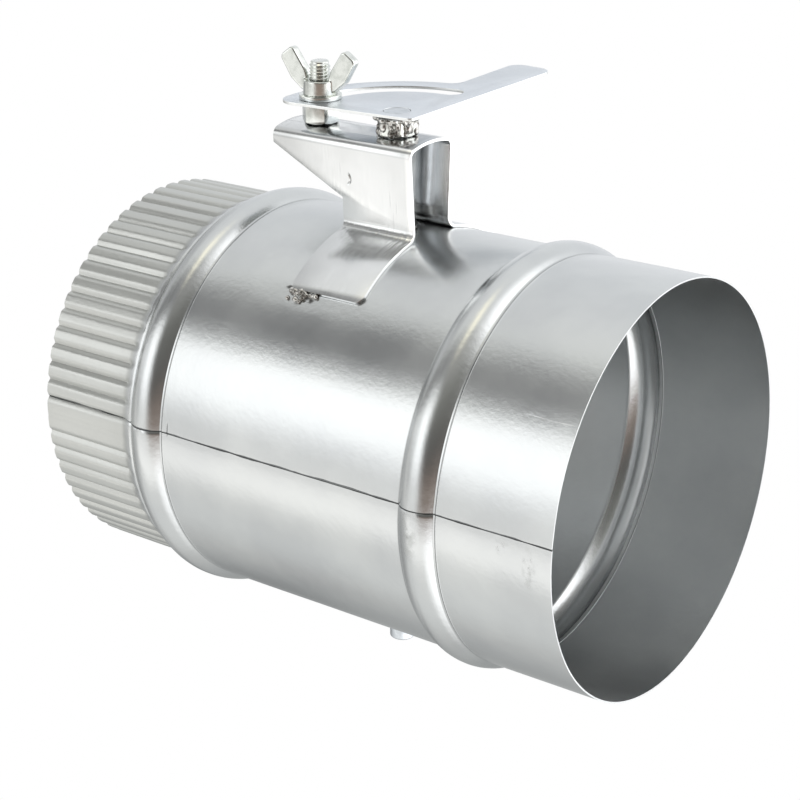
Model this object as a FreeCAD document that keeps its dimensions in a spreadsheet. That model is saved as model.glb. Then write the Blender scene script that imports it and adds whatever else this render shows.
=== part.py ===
"""Manual duct damper for a 6 inch round sheet-metal duct.

A beaded sleeve with one crimped end carries a blade on an upright shaft. A folded bracket stands
on the sleeve and holds the shaft's upper end clear of the duct. A lever with a curved slot turns
the shaft, and a wing nut on a fixed bolt clamps it. Millimetres; the origin is the centre of the
plain end's open face, +X leaves the duct there, and +Z runs up the shaft.
"""
import FreeCAD, Part
import Sketcher
import math
import os

V = FreeCAD.Vector
X_AXIS, Z_AXIS = V(1, 0, 0), V(0, 0, 1)

doc = FreeCAD.newDocument("manual_duct_damper")
sheet = doc.addObject("Spreadsheet::Sheet", "sizes")

# Driving sizes, in millimetres and degrees.
SIZES = {
    # The rolled sheet of the sleeve
    "bore_radius": 76.2,
    "sheet_thickness": 0.55,
    "sleeve_length": 232.0,
    "collar_length": 46.5,
    "crimp_length": 45.6,
    "bead_width": 15.4,
    "bead_rise": 3.3,
    "bead_fillet": 1.2,
    "seam_gap": 0.4,
    "seam_height": 7.6,
    "seam_depth": 0.3,
    # The corrugated end
    "crimp_count": 66,
    "crimp_inset": 1.0,
    "crimp_depth": 1.5,
    "crimp_valley_share": 0.34,
    "crimp_runout": 6.0,
    # The shaft and its bushes in the duct wall
    "shaft_station": 117.6,
    "shaft_radius": 5.0,
    "shaft_drop": 17.05,
    "shaft_chamfer": 0.6,
    "running_gap": 0.06,
    "slide_gap": 0.1,
    "bush_neck_radius": 6.5,
    "bush_flange_radius": 7.6,
    "bush_flange_thickness": 1.2,
    "bush_hub_radius": 6.4,
    "bush_hub_rise": 5.2,
    # The blade, its straps and rivets
    "blade_clearance": 1.3,
    "blade_thickness": 1.0,
    "strap_thickness": 1.0,
    "strap_width": 16.0,
    "strap_reach": 17.0,
    "strap_height": 45.0,
    "rivet_reach": 11.5,
    "rivet_radius": 1.6,
    "rivet_head_radius": 3.2,
    "rivet_head_rise": 1.3,
    # The stand-off bracket
    "bracket_height": 111.5,
    "bracket_thickness": 1.1,
    "bracket_half_width": 13.2,
    "bracket_lean": 2.1,
    "bracket_arch": 45.0,
    "bracket_top_bend": 3.5,
    "bracket_foot_bend": 3.6,
    "bracket_leg_right": 15.3,
    "bracket_leg_left": 16.6,
    "foot_shift": 2.8,
    "bracket_overhang": 48.1,
    "bracket_nose_drop": 7.0,
    "bracket_slant_drop": 23.4,
    "flange_angle": 36.2,
    "flange_corner": 3.5,
    "flange_gap": 0.1,
    "weld_inset": 0.8,
    "weld_length": 10.7,
    "weld_radius": 1.7,
    # The lever
    "lever_thickness": 1.1,
    "lever_radius": 48.2,
    "lever_front": 8.4,
    "lever_side": 11.4,
    "handle_side": 17.0,
    "handle_back": 3.2,
    "handle_tip_back": 2.0,
    "handle_length": 91.2,
    "handle_tip_drop": 3.2,
    "lever_front_corner": 2.0,
    "lever_nose_corner": 7.5,
    "lever_neck_fillet": 5.0,
    "handle_back_corner": 5.0,
    "handle_front_corner": 7.0,
    "slot_radius": 35.4,
    "slot_clearance": 0.6,
    "slot_stop": 87.0,
    "lever_rest_turn": 4.5,
    # The clamp bolt, its nuts and washer
    "bolt_radius": 4.0,
    "bolt_length": 24.6,
    "bolt_head_height": 5.2,
    "bolt_end_chamfer": 0.7,
    "nut_flats": 12.7,
    "nut_height": 7.6,
    "nut_turn": 18.7,
    "shaft_nut_flats": 13.0,
    "nut_corner_chamfer": 0.8,
    "nut_face_share": 0.97,
    "pivot_weld_leg": 1.8,
    "washer_radius": 8.0,
    "washer_thickness": 1.6,
    # The wing nut
    "collar_radius": 6.4,
    "collar_top_radius": 6.1,
    "collar_rise": 5.4,
    "wing_span": 32.4,
    "wing_rise": 17.0,
    "wing_slant": 4.4,
    "wing_shoulder": 5.0,
    "wing_tip_drop": 3.8,
    "wing_top_width": 5.4,
    "wing_root_gap": 1.2,
    "wing_root_rise": 9.0,
    "wing_thickness": 3.8,
    "wing_corner": 1.4,
    "wing_turn": 7.0,
}

for row, (alias, number) in enumerate(SIZES.items(), start=1):
    sheet.set(f"A{row}", alias)
    sheet.set(f"B{row}", str(number))
    sheet.setAlias(f"B{row}", alias)
doc.recompute()


def cell(alias):
    """The sheet's name for one size, for use in an expression."""
    return f"sizes.{alias}"


def value(expression):
    """The number that an expression of the sheet's sizes gives now."""
    return float(sheet.evalExpression(str(expression)))


def size(alias):
    return value(cell(alias))


# Sizes and places that follow from the driving ones, as expressions of the sheet.
OUTER = "(sizes.bore_radius + sizes.sheet_thickness)"
SHAFT_X = "(0 - sizes.shaft_station)"
BOLT_X = "(0 - sizes.shaft_station - sizes.slot_radius)"
CRIMP_X = "(sizes.crimp_length - sizes.sleeve_length)"
BEAD_XS = (
    "(0 - sizes.collar_length - sizes.bead_width / 2)",
    "(sizes.crimp_length - sizes.sleeve_length + sizes.bead_width / 2)",
)
BEAD_CROWN = (
    "(((sizes.bead_width / 2)^2 + sizes.bead_rise^2) / (2 * sizes.bead_rise)"
    " - sizes.bead_fillet)"
)
BEAD_CENTRE = f"({OUTER} + sizes.bead_rise - {BEAD_CROWN})"
SHAFT_BORE = "(sizes.shaft_radius + sizes.running_gap)"
BOLT_BORE = "(sizes.bolt_radius + sizes.running_gap)"
BRACKET_TOP = "sizes.bracket_height"
BRACKET_UNDER = "(sizes.bracket_height - sizes.bracket_thickness)"
# The bolt head's corners bear on the underside of the bracket's arched top.
HEAD_SEAT = (
    "(sizes.bracket_height - sizes.bracket_arch"
    " + sqrt((sizes.bracket_arch - sizes.bracket_thickness)^2 - sizes.nut_flats^2 / 3))"
)
LEVER_UNDER = "(sizes.bracket_height + sizes.nut_height + sizes.slide_gap)"
LEVER_TOP = f"({LEVER_UNDER} + sizes.lever_thickness)"
WASHER_UNDER = f"({LEVER_TOP} + sizes.slide_gap)"
WING_UNDER = f"({WASHER_UNDER} + sizes.washer_thickness)"
CRIMP_CREST = "(sizes.bore_radius - sizes.crimp_inset)"
BLADE_FACE = "(sizes.shaft_radius + sizes.slide_gap)"
BLADE_RADIUS = "(sizes.bore_radius - sizes.blade_clearance)"


def body_at(name, x="0", y="0", z="0", turn=None):
    """An empty body whose own origin stands at x, y, z, turned about Z."""
    body = doc.addObject("PartDesign::Body", name)
    body.Label = name
    for axis, place in zip("xyz", (x, y, z)):
        body.setExpression(f"Placement.Base.{axis}", place)
    if turn:
        body.setExpression("Placement.Rotation.Angle", f"{turn} * 1deg")
    doc.recompute()
    return body


def sketch_on(body, role, offset="0"):
    """A new sketch on one of the body's own planes, moved along its normal."""
    sketch = body.newObject("Sketcher::SketchObject", f"{body.Name}_sketch")
    plane = next(item for item in body.Origin.OriginFeatures if item.Role == role)
    sketch.AttachmentSupport = [(plane, "")]
    sketch.MapMode = "FlatFace"
    sketch.setExpression("AttachmentOffset.Base.z", offset)
    return sketch


def bind(sketch, constraint, expression):
    """Add a constraint whose datum follows the sheet."""
    index = sketch.addConstraint(constraint)
    sketch.setExpression(f"Constraints[{index}]", expression)


def outline(sketch, corners):
    """A closed outline through corners (x, y[, radius]), each an expression.

    A radius makes the side that ends at that corner an arc: bulging to the right of the way
    round, or to the left where the radius is given with a leading minus.
    """
    points = [V(value(corner[0]), value(corner[1]), 0) for corner in corners]
    count = len(corners)
    for index in range(count):
        start, end = points[index - 1], points[index]
        if len(corners[index]) == 2:
            sketch.addGeometry(Part.LineSegment(start, end))
            continue
        radius = value(corners[index][2].lstrip("-"))
        side = -1 if corners[index][2].startswith("-") else 1
        chord = end - start
        bow = radius - math.sqrt(max(radius ** 2 - chord.Length ** 2 / 4, 0))
        right = V(chord.y, -chord.x, 0).normalize()
        middle = (start + end) / 2 + right * side * bow
        sketch.addGeometry(Part.Arc(start, middle, end))
    for index in range(count):
        after = (index + 1) % count
        here = geometry_end(sketch, index, points[index])
        there = geometry_end(sketch, after, points[index])
        sketch.addConstraint(Sketcher.Constraint("Coincident", index, here, after, there))
        for kind, place, now in (("DistanceX", 0, points[index].x), ("DistanceY", 1, points[index].y)):
            datum = Sketcher.Constraint(kind, -1, 1, index, here, now)
            bind(sketch, datum, corners[index][place])
    for index, corner in enumerate(corners):
        if len(corner) == 3:
            radius = corner[2].lstrip("-")
            bind(sketch, Sketcher.Constraint("Radius", index, value(radius)), radius)


def geometry_end(sketch, index, point):
    """Which end of a side lies at a point: 1 for its start, 2 for its end."""
    start = sketch.getPoint(index, 1)
    return 1 if start.distanceToPoint(point) < 1e-6 else 2


def circle(sketch, x, y, radius):
    """A circle whose centre and radius follow the sheet."""
    centre = V(value(x), value(y), 0)
    index = sketch.addGeometry(Part.Circle(centre, Z_AXIS, value(radius)))
    bind(sketch, Sketcher.Constraint("DistanceX", -1, 1, index, 3, centre.x), x)
    bind(sketch, Sketcher.Constraint("DistanceY", -1, 1, index, 3, centre.y), y)
    bind(sketch, Sketcher.Constraint("Radius", index, value(radius)), radius)


def hexagon(sketch, flats):
    """A regular hexagon with one corner on +X, from its width across flats."""
    corners = []
    for index in range(6):
        turn = f"{60 * index}deg"
        corners.append((f"{flats} / sqrt(3) * cos({turn})", f"{flats} / sqrt(3) * sin({turn})"))
    outline(sketch, corners)


def pad(body, sketch, length, both_ways=False):
    feature = body.newObject("PartDesign::Pad", f"{body.Name}_pad")
    feature.Profile = sketch
    feature.setExpression("Length", length)
    feature.Midplane = both_ways
    doc.recompute()
    return feature


def pocket(body, sketch, length, both_ways=True):
    """Cut a sketch out of the body, and make sure that the cut meets it."""
    before = body.Shape.Volume
    feature = body.newObject("PartDesign::Pocket", f"{body.Name}_pocket")
    feature.Profile = sketch
    feature.setExpression("Length", length)
    feature.Midplane = both_ways
    doc.recompute()
    if not body.Shape.Volume < before:
        raise RuntimeError(f"a pocket in {body.Name} cuts nothing")
    return feature


def turn_round(body, sketch, axis="V_Axis", cut=False):
    kind = "PartDesign::Groove" if cut else "PartDesign::Revolution"
    feature = body.newObject(kind, f"{body.Name}_turned")
    feature.Profile = sketch
    feature.ReferenceAxis = (sketch, [axis])
    doc.recompute()
    return feature


def edges_where(shape, test):
    """Names of the edges whose middle point and length pass a test."""
    found = []
    for index, edge in enumerate(shape.Edges, start=1):
        middle = edge.valueAt((edge.FirstParameter + edge.LastParameter) / 2)
        if test(middle, edge):
            found.append(f"Edge{index}")
    return found


def fillet(body, test, radius):
    base = body.Tip
    names = edges_where(base.Shape, test)
    if not names:
        raise RuntimeError(f"no edge to round on {body.Name}")
    feature = body.newObject("PartDesign::Fillet", f"{body.Name}_fillet")
    feature.Base = (base, names)
    feature.setExpression("Radius", radius)
    doc.recompute()
    return feature


def upright_at(x, y):
    """A test for the edge that runs along Z through x, y of the body's own frame."""
    def test(middle, edge):
        upright = abs(edge.tangentAt(edge.FirstParameter).z) > 0.99
        return upright and math.hypot(middle.x - x, middle.y - y) < 0.05
    return test


# Sleeve: one sheet rolled round, with two raised beads, a lapped seam and a crimped end.

def sheet_chain(inset):
    """One face of the beaded sheet in the plane y = 0, from the plain end to the crimp.

    inset 0 is the outside. Every inset keeps the same bend centres, so the sheet has one
    thickness all along.
    """
    surface = value(OUTER) - inset
    crown = value(BEAD_CROWN) - inset
    foot = size("bead_fillet") + inset
    centre_z = value(BEAD_CENTRE)
    foot_z = surface + foot
    half = math.sqrt((crown + foot) ** 2 - (foot_z - centre_z) ** 2)

    points = [V(0, 0, surface)]
    sides = []
    for station in BEAD_XS:
        x = value(station)
        centre = V(x, 0, centre_z)
        for side in (1, -1):
            foot_centre = V(x + side * half, 0, foot_z)
            on_sheet = V(foot_centre.x, 0, surface)
            on_crown = centre + (foot_centre - centre).normalize() * crown
            turn = (on_sheet + on_crown) / 2 - foot_centre
            middle = foot_centre + turn.normalize() * foot
            if side == 1:
                sides.append(Part.makeLine(points[-1], on_sheet))
                sides.append(Part.Arc(on_sheet, middle, on_crown).toShape())
                crown_start = on_crown
                continue
            sides.append(Part.Arc(crown_start, centre + Z_AXIS * crown, on_crown).toShape())
            sides.append(Part.Arc(on_crown, middle, on_sheet).toShape())
            points.append(on_sheet)
    return sides, points[0], points[-1]


def sheet_section(outside, inside):
    """The cut face of the beaded sheet between two insets."""
    outer, outer_start, outer_end = sheet_chain(outside)
    inner, inner_start, inner_end = sheet_chain(inside)
    ends = [Part.makeLine(outer_start, inner_start), Part.makeLine(outer_end, inner_end)]
    return Part.Face(Part.Wire(Part.__sortEdges__(outer + inner + ends)))


def sheet_sector(outside, inside, start, sweep):
    """Part of the rolled sheet: start and sweep are degrees from the top towards -Y."""
    section = sheet_section(outside, inside)
    section.rotate(V(0, 0, 0), X_AXIS, start)
    return section.revolve(V(0, 0, 0), X_AXIS, sweep)


def ripple_wire(x, ripple, shift):
    """One closed cross-section of the corrugated end: broad round lands and narrow valleys.

    ripple is 1 at the free end and 0 where the corrugations have run out into the round
    sheet; shift moves the whole section inward, for the sheet's inner face.
    """
    count = int(round(size("crimp_count")))
    pitch = 2 * math.pi / count
    half_valley = pitch * size("crimp_valley_share") / 2
    crest = value(OUTER) + (value(CRIMP_CREST) - value(OUTER)) * ripple - shift
    floor = crest - size("crimp_depth") * ripple
    edge = (crest + floor) / 2

    def at(radius, angle):
        return V(x, -radius * math.sin(angle), radius * math.cos(angle))

    sides = []
    for index in range(count):
        middle = index * pitch
        sides.append(Part.Arc(at(edge, middle - half_valley), at(floor, middle),
                              at(edge, middle + half_valley)))
        sides.append(Part.Arc(at(edge, middle + half_valley), at(crest, middle + pitch / 2),
                              at(edge, middle + pitch - half_valley)))
    return Part.Wire([side.toShape() for side in sides])


def ripple_solid(shift):
    start, end = -size("sleeve_length"), value(CRIMP_X)
    fade = end - size("crimp_runout")
    sections = [ripple_wire(start, 1, shift), ripple_wire(fade, 1, shift), ripple_wire(end, 0, shift)]
    return Part.makeLoft(sections, True, True)


def make_sleeve():
    thickness = size("sheet_thickness")
    seam = 90 - math.degrees(math.asin(size("seam_height") / value(OUTER)))
    gap = math.degrees(size("seam_gap") / value(OUTER))

    # The sheet's two ends are lapped and pressed flush, so the seam is a shallow line outside.
    round_sheet = sheet_sector(0, thickness, 0, 360)
    seam_line = sheet_sector(-thickness, size("seam_depth"), seam - gap / 2, gap)
    crimp = ripple_solid(0).cut(ripple_solid(thickness))
    whole = round_sheet.cut(seam_line).fuse(crimp)

    blank = doc.addObject("Part::Feature", "rolled_sheet")
    blank.Shape = whole
    holes = doc.addObject("Part::Cylinder", "bush_holes")
    holes.setExpression("Placement.Base.x", SHAFT_X)
    holes.setExpression("Placement.Base.z", f"0 - {OUTER} - 1")
    holes.setExpression("Radius", "sizes.bush_neck_radius + sizes.running_gap")
    holes.setExpression("Height", f"2 * {OUTER} + 2")
    sleeve = doc.addObject("Part::Cut", "duct_sleeve")
    sleeve.Base, sleeve.Tool = blank, holes
    sleeve.Label = "duct_sleeve"
    doc.recompute()
    return sleeve


# Bracket: one strip folded into a hat section whose feet follow the duct.

def hat_path(offset):
    """One face of the folded strip, across the duct at x = 0, as joined sides.

    offset 0 is the face towards the duct and inside the hat; the sheet's thickness gives the
    outer face. Both are worked out round the same bend centres.
    """
    thickness = size("bracket_thickness")
    foot = value(OUTER) + size("flange_gap") + offset
    foot_bend = size("bracket_foot_bend") + thickness - offset
    top_bend = size("bracket_top_bend") - thickness + offset
    arch = size("bracket_arch") - thickness + offset
    arch_centre = V(0, 0, value(BRACKET_TOP) - size("bracket_arch"))
    high = V(0, size("bracket_half_width") - thickness + offset, value(BRACKET_UNDER))
    leg_height = value(BRACKET_UNDER) - value(OUTER)
    down = V(0, -size("bracket_lean"), -leg_height).normalize()
    out = V(0, -down.z, down.y)

    start = high + out * foot_bend
    reach = foot + foot_bend
    along = -start.dot(down) - math.sqrt(start.dot(down) ** 2 - start.dot(start) + reach ** 2)
    foot_centre = start + down * along
    leg_end = foot_centre - out * foot_bend
    foot_start = foot_centre * (foot / reach)

    inner = high - out * top_bend - arch_centre
    reach = arch - top_bend
    along = -inner.dot(down) - math.sqrt(inner.dot(down) ** 2 - inner.dot(inner) + reach ** 2)
    toward_bend = inner + down * along
    top_centre = arch_centre + toward_bend
    leg_start = top_centre + out * top_bend
    top_end = arch_centre + toward_bend.normalize() * arch

    angle = math.radians(size("flange_angle"))
    foot_end = V(0, foot * math.sin(angle), foot * math.cos(angle))
    halfway = (math.atan2(foot_start.y, foot_start.z) + angle) / 2
    foot_middle = V(0, foot * math.sin(halfway), foot * math.cos(halfway))

    def bend_middle(centre, one, other, radius):
        return centre + ((one + other) / 2 - centre).normalize() * radius

    half = [
        (foot_end, foot_middle, foot_start),
        (foot_start, bend_middle(foot_centre, foot_start, leg_end, foot_bend), leg_end),
        (leg_end, leg_start),
        (leg_start, bend_middle(top_centre, leg_start, top_end, top_bend), top_end),
    ]

    def flip(point):
        return V(point.x, -point.y, point.z)

    other_half = [tuple(flip(point) for point in reversed(side)) for side in reversed(half)]
    return half + [(top_end, arch_centre + Z_AXIS * arch, flip(top_end))] + other_half


def side_edge(points):
    if len(points) == 2:
        return Part.makeLine(*points)
    return Part.Arc(*points).toShape()


def hat_section():
    inner, outer = hat_path(0), hat_path(size("bracket_thickness"))
    edges = [side_edge(points) for points in inner + outer]
    edges.append(Part.makeLine(inner[0][0], outer[0][0]))
    edges.append(Part.makeLine(inner[-1][-1], outer[-1][-1]))
    return Part.Face(Part.Wire(Part.__sortEdges__(edges)))


def make_bracket():
    left = value(SHAFT_X) - size("bracket_overhang")
    length = size("bracket_overhang") + size("bracket_leg_right") + size("foot_shift")
    blank = doc.addObject("Part::Feature", "folded_strip")
    section = hat_section()
    section.translate(X_AXIS * left)
    blank.Shape = section.extrude(X_AXIS * length)

    body = body_at("standoff_bracket")
    body.BaseFeature = blank
    doc.recompute()

    # The nose overhangs the legs, which are cut back on a slant below it. The feet run a little
    # askew of the legs, towards the plain end.
    nose_x = "(0 - sizes.shaft_station - sizes.bracket_overhang)"
    left_x = "(0 - sizes.shaft_station - sizes.bracket_leg_left)"
    right_x = "(0 - sizes.shaft_station + sizes.bracket_leg_right)"
    nose_z = "(sizes.bracket_height - sizes.bracket_nose_drop)"
    slant_z = "(sizes.bracket_height - sizes.bracket_slant_drop)"
    bend_z = f"({OUTER} + sizes.bracket_foot_bend)"
    foot_z = f"({OUTER} * cos(sizes.flange_angle * 1deg) - 1)"
    slant = sketch_on(body, "XZ_Plane")
    outline(slant, [
        (f"{nose_x} - 1", nose_z),
        (f"{nose_x} - 1", foot_z),
        (f"{left_x} + sizes.foot_shift", foot_z),
        (left_x, bend_z),
        (left_x, slant_z),
        (nose_x, nose_z),
    ])
    pocket(body, slant, f"4 * {OUTER}")
    trim = sketch_on(body, "XZ_Plane")
    outline(trim, [
        (right_x, f"{BRACKET_TOP} + 1"),
        (right_x, bend_z),
        (f"{right_x} + sizes.foot_shift", foot_z),
        (f"{right_x} + sizes.foot_shift + 1", foot_z),
        (f"{right_x} + sizes.foot_shift + 1", f"{BRACKET_TOP} + 1"),
    ])
    pocket(body, trim, f"4 * {OUTER}")

    holes = sketch_on(body, "XY_Plane", BRACKET_UNDER)
    circle(holes, SHAFT_X, "0", SHAFT_BORE)
    circle(holes, BOLT_X, "0", BOLT_BORE)
    pocket(body, holes, "4 * sizes.bracket_thickness")

    angle = math.radians(size("flange_angle"))
    thickness = size("bracket_thickness")
    middle_radius = value(OUTER) + size("flange_gap") + thickness / 2

    def flange_corner(middle, edge):
        place = V(0, abs(middle.y), middle.z)
        corner = V(0, middle_radius * math.sin(angle), middle_radius * math.cos(angle))
        return place.distanceToPoint(corner) < 0.05 and abs(edge.Length - thickness) < 0.05

    fillet(body, flange_corner, cell("flange_corner"))
    return body


def make_tack_weld(name, side):
    """A short bead that ties one foot's lower corner to the sleeve."""
    radius = size("weld_radius")
    angle = math.radians(size("flange_angle")) + 0.4 * radius / size("bore_radius")
    corner = value(SHAFT_X) - size("bracket_leg_left") + size("foot_shift")
    start = V(corner + size("weld_inset"),
              side * value(OUTER) * math.sin(angle), value(OUTER) * math.cos(angle))
    end = start + X_AXIS * size("weld_length")
    blob = Part.makeCylinder(radius, size("weld_length"), start, X_AXIS)
    blob = blob.fuse([Part.makeSphere(radius, start), Part.makeSphere(radius, end)])
    drum_solid = Part.makeCylinder(value(OUTER), size("sleeve_length"), V(0, 0, 0), -X_AXIS)
    weld = doc.addObject("Part::Feature", name)
    weld.Label = name
    weld.Shape = blob.cut([drum_solid, doc.standoff_bracket.Shape])
    return weld


# Shaft, bushes, blade, straps and rivets.

def turned_part(name, corners, x=SHAFT_X, y="0", z="0", turn=None):
    """A turned piece: corners are (radius, height) round an upright axis at x, y."""
    body = body_at(name, x, y, z, turn)
    section = sketch_on(body, "XZ_Plane")
    outline(section, corners)
    turn_round(body, section)
    return body


def make_shaft():
    low = f"(0 - {OUTER} - sizes.shaft_drop)"
    return turned_part("damper_shaft", [
        ("0", low),
        ("sizes.shaft_radius - sizes.shaft_chamfer", low),
        (cell("shaft_radius"), f"{low} + sizes.shaft_chamfer"),
        (cell("shaft_radius"), f"{LEVER_TOP} - sizes.shaft_chamfer / 2"),
        ("sizes.shaft_radius - sizes.shaft_chamfer / 2", LEVER_TOP),
        ("0", LEVER_TOP),
    ], turn=cell("lever_rest_turn"))


def make_bush(name, side):
    """A flanged bush in the duct wall; side is + for the top and - for the bottom."""
    seat = f"0 {side} ({OUTER} + sizes.slide_gap)"
    neck_end = f"0 {side} {cell('bore_radius')}"
    flange_end = f"0 {side} ({OUTER} + sizes.slide_gap + sizes.bush_flange_thickness)"
    hub_end = f"0 {side} ({OUTER} + sizes.slide_gap + sizes.bush_hub_rise)"
    return turned_part(name, [
        (SHAFT_BORE, neck_end),
        (cell("bush_neck_radius"), neck_end),
        (cell("bush_neck_radius"), seat),
        (cell("bush_flange_radius"), seat),
        (cell("bush_flange_radius"), flange_end),
        (cell("bush_hub_radius"), flange_end),
        (cell("bush_hub_radius"), hub_end),
        (SHAFT_BORE, hub_end),
    ])


def on_shaft(name):
    """A body in the turning frame of the shaft, at the lever's rest angle."""
    return body_at(name, SHAFT_X, turn=cell("lever_rest_turn"))


def rivet_places():
    """Each rivet's sideways and upright place in the blade, as expressions."""
    for up in ("+", "-"):
        for aside in ("+", "-"):
            yield f"(0 {aside} sizes.rivet_reach)", f"(0 {up} sizes.strap_height)"


def make_blade():
    body = on_shaft("damper_blade")
    disc = sketch_on(body, "YZ_Plane", BLADE_FACE)
    circle(disc, "0", "0", BLADE_RADIUS)
    pad(body, disc, cell("blade_thickness"))
    holes = sketch_on(body, "YZ_Plane", BLADE_FACE)
    for across, height in rivet_places():
        circle(holes, across, height, "sizes.rivet_radius + sizes.running_gap")
    pocket(body, holes, "4 * sizes.blade_thickness")
    return body


def make_strap(name, side):
    """A saddle that holds the shaft against the blade."""
    body = on_shaft(name)
    inner = "(sizes.shaft_radius + sizes.slide_gap)"
    outer = f"({inner} + sizes.strap_thickness)"
    back = f"({BLADE_FACE} - sizes.strap_thickness)"
    saddle = sketch_on(body, "XY_Plane", f"0 {side} sizes.strap_height")
    outline(saddle, [
        (BLADE_FACE, "0 - sizes.strap_reach"),
        (BLADE_FACE, f"0 - {inner}"),
        ("0", f"0 - {inner}"),
        (f"0 - {inner}", "0", f"-{inner}"),
        ("0", inner, f"-{inner}"),
        (BLADE_FACE, inner),
        (BLADE_FACE, cell("strap_reach")),
        (back, cell("strap_reach")),
        (back, outer),
        ("0", outer),
        (f"0 - {outer}", "0", outer),
        ("0", f"0 - {outer}", outer),
        (back, f"0 - {outer}"),
        (back, "0 - sizes.strap_reach"),
    ])
    pad(body, saddle, cell("strap_width"), both_ways=True)
    holes = sketch_on(body, "YZ_Plane", BLADE_FACE)
    for across in ("(0 - sizes.rivet_reach)", "sizes.rivet_reach"):
        circle(holes, across, f"0 {side} sizes.strap_height", "sizes.rivet_radius + sizes.running_gap")
    pocket(body, holes, "4 * sizes.strap_thickness")
    return body


def make_rivet(name, across, height):
    """A domed rivet through one strap foot and the blade, its axis square to the blade."""
    body = on_shaft(name)
    head_face = f"({BLADE_FACE} - sizes.strap_thickness - sizes.slide_gap)"
    tail_face = f"({BLADE_FACE} + sizes.blade_thickness + sizes.slide_gap)"
    dome = "((sizes.rivet_head_radius^2 + sizes.rivet_head_rise^2) / (2 * sizes.rivet_head_rise))"
    section = sketch_on(body, "XZ_Plane", f"0 - {across}")
    section.setExpression("AttachmentOffset.Base.y", height)
    outline(section, [
        (f"{head_face} - sizes.rivet_head_rise", "0", dome),
        (f"{tail_face} + sizes.rivet_head_rise", "0"),
        (tail_face, cell("rivet_head_radius"), dome),
        (tail_face, cell("rivet_radius")),
        (head_face, cell("rivet_radius")),
        (head_face, cell("rivet_head_radius")),
    ])
    turn_round(body, section, axis="H_Axis")
    return body


# Lever: one flat stamping, a quarter plate with a curved slot and a handle.

def make_lever():
    body = body_at("quadrant_lever", SHAFT_X, z=LEVER_UNDER, turn=cell("lever_rest_turn"))
    neck_y = "sqrt(sizes.lever_radius^2 - sizes.handle_back^2)"
    nose_x = "(0 - sqrt(sizes.lever_radius^2 - sizes.lever_front^2))"
    tip_y = "(sizes.handle_length - sizes.handle_tip_drop)"
    plate = sketch_on(body, "XY_Plane")
    outline(plate, [
        (cell("lever_side"), "0 - sizes.lever_front"),
        (cell("handle_side"), tip_y),
        ("0 - sizes.handle_tip_back", cell("handle_length")),
        ("0 - sizes.handle_back", neck_y),
        (nose_x, "0 - sizes.lever_front", cell("lever_radius")),
    ])
    pad(body, plate, cell("lever_thickness"))

    cuts = sketch_on(body, "XY_Plane")
    half = "(sizes.bolt_radius + sizes.slot_clearance)"
    stop = "(sizes.slot_stop * 1deg)"
    near, far = f"(sizes.slot_radius - {half})", f"(sizes.slot_radius + {half})"
    end_x = f"(sizes.slot_radius * cos({stop}) + {half} * sin({stop}))"
    end_y = f"(sizes.slot_radius * sin({stop}) - {half} * cos({stop}))"
    outline(cuts, [
        (f"{near} * cos({stop})", f"{near} * sin({stop})", f"-{half}"),
        (f"0 - {near}", "0", near),
        ("0 - sizes.slot_radius", f"0 - {half}", f"-{half}"),
        (f"0 - {far}", "0", f"-{half}"),
        (f"{far} * cos({stop})", f"{far} * sin({stop})", f"-{far}"),
        (end_x, end_y, f"-{half}"),
    ])
    circle(cuts, "0", "0", "sizes.shaft_radius + sizes.slide_gap")
    pocket(body, cuts, "4 * sizes.lever_thickness")

    rounds = [
        (size("lever_side"), -size("lever_front"), "lever_front_corner"),
        (size("handle_side"), value(tip_y), "handle_front_corner"),
        (-size("handle_tip_back"), size("handle_length"), "handle_back_corner"),
        (-size("handle_back"), value(neck_y), "lever_neck_fillet"),
        (value(nose_x), -size("lever_front"), "lever_nose_corner"),
    ]
    for x, y, alias in rounds:
        fillet(body, upright_at(x, y), cell(alias))
    return body


# Nuts, bolt, washer and wing nut.

def chamfer_corners(body, flats, height, both_ends=True):
    """Turn the hexagon's corners off at its end faces, at 30 degrees."""
    corner = f"({flats} / sqrt(3))"
    inside = f"({flats} / 2 * sizes.nut_face_share)"
    depth = cell("nut_corner_chamfer")
    ends = [("0", depth)]
    if both_ends:
        ends.append((height, f"{height} - {depth}"))
    for face, shoulder in ends:
        ring = sketch_on(body, "XZ_Plane")
        beyond = f"{corner} + 1"
        outline(ring, [(inside, face), (beyond, face), (beyond, shoulder), (corner, shoulder)])
        turn_round(body, ring, cut=True)


def make_nut(name, x, flats, bore, z, height, turn):
    body = body_at(name, x, z=z, turn=turn)
    ring = sketch_on(body, "XY_Plane")
    hexagon(ring, flats)
    pad(body, ring, height)
    hole = sketch_on(body, "XY_Plane")
    circle(hole, "0", "0", bore)
    pocket(body, hole, f"4 * {height}")
    chamfer_corners(body, flats, height)
    return body


def make_pivot_weld():
    """The ring of weld between the shaft nut and the lever's underside."""
    leg = size("pivot_weld_leg")
    top = value(LEVER_UNDER)
    corner = size("shaft_nut_flats") / math.sqrt(3)
    ring = Part.makeCone(corner + leg / 6, corner + leg * 0.8, leg, V(value(SHAFT_X), 0, top - leg))
    weld = doc.addObject("Part::Feature", "pivot_weld")
    weld.Label = "pivot_weld"
    core = Part.makeCylinder(corner / 2 + size("shaft_radius") / 2, leg, V(value(SHAFT_X), 0, top - leg))
    weld.Shape = ring.cut([doc.shaft_nut.Shape, core])
    return weld


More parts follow.
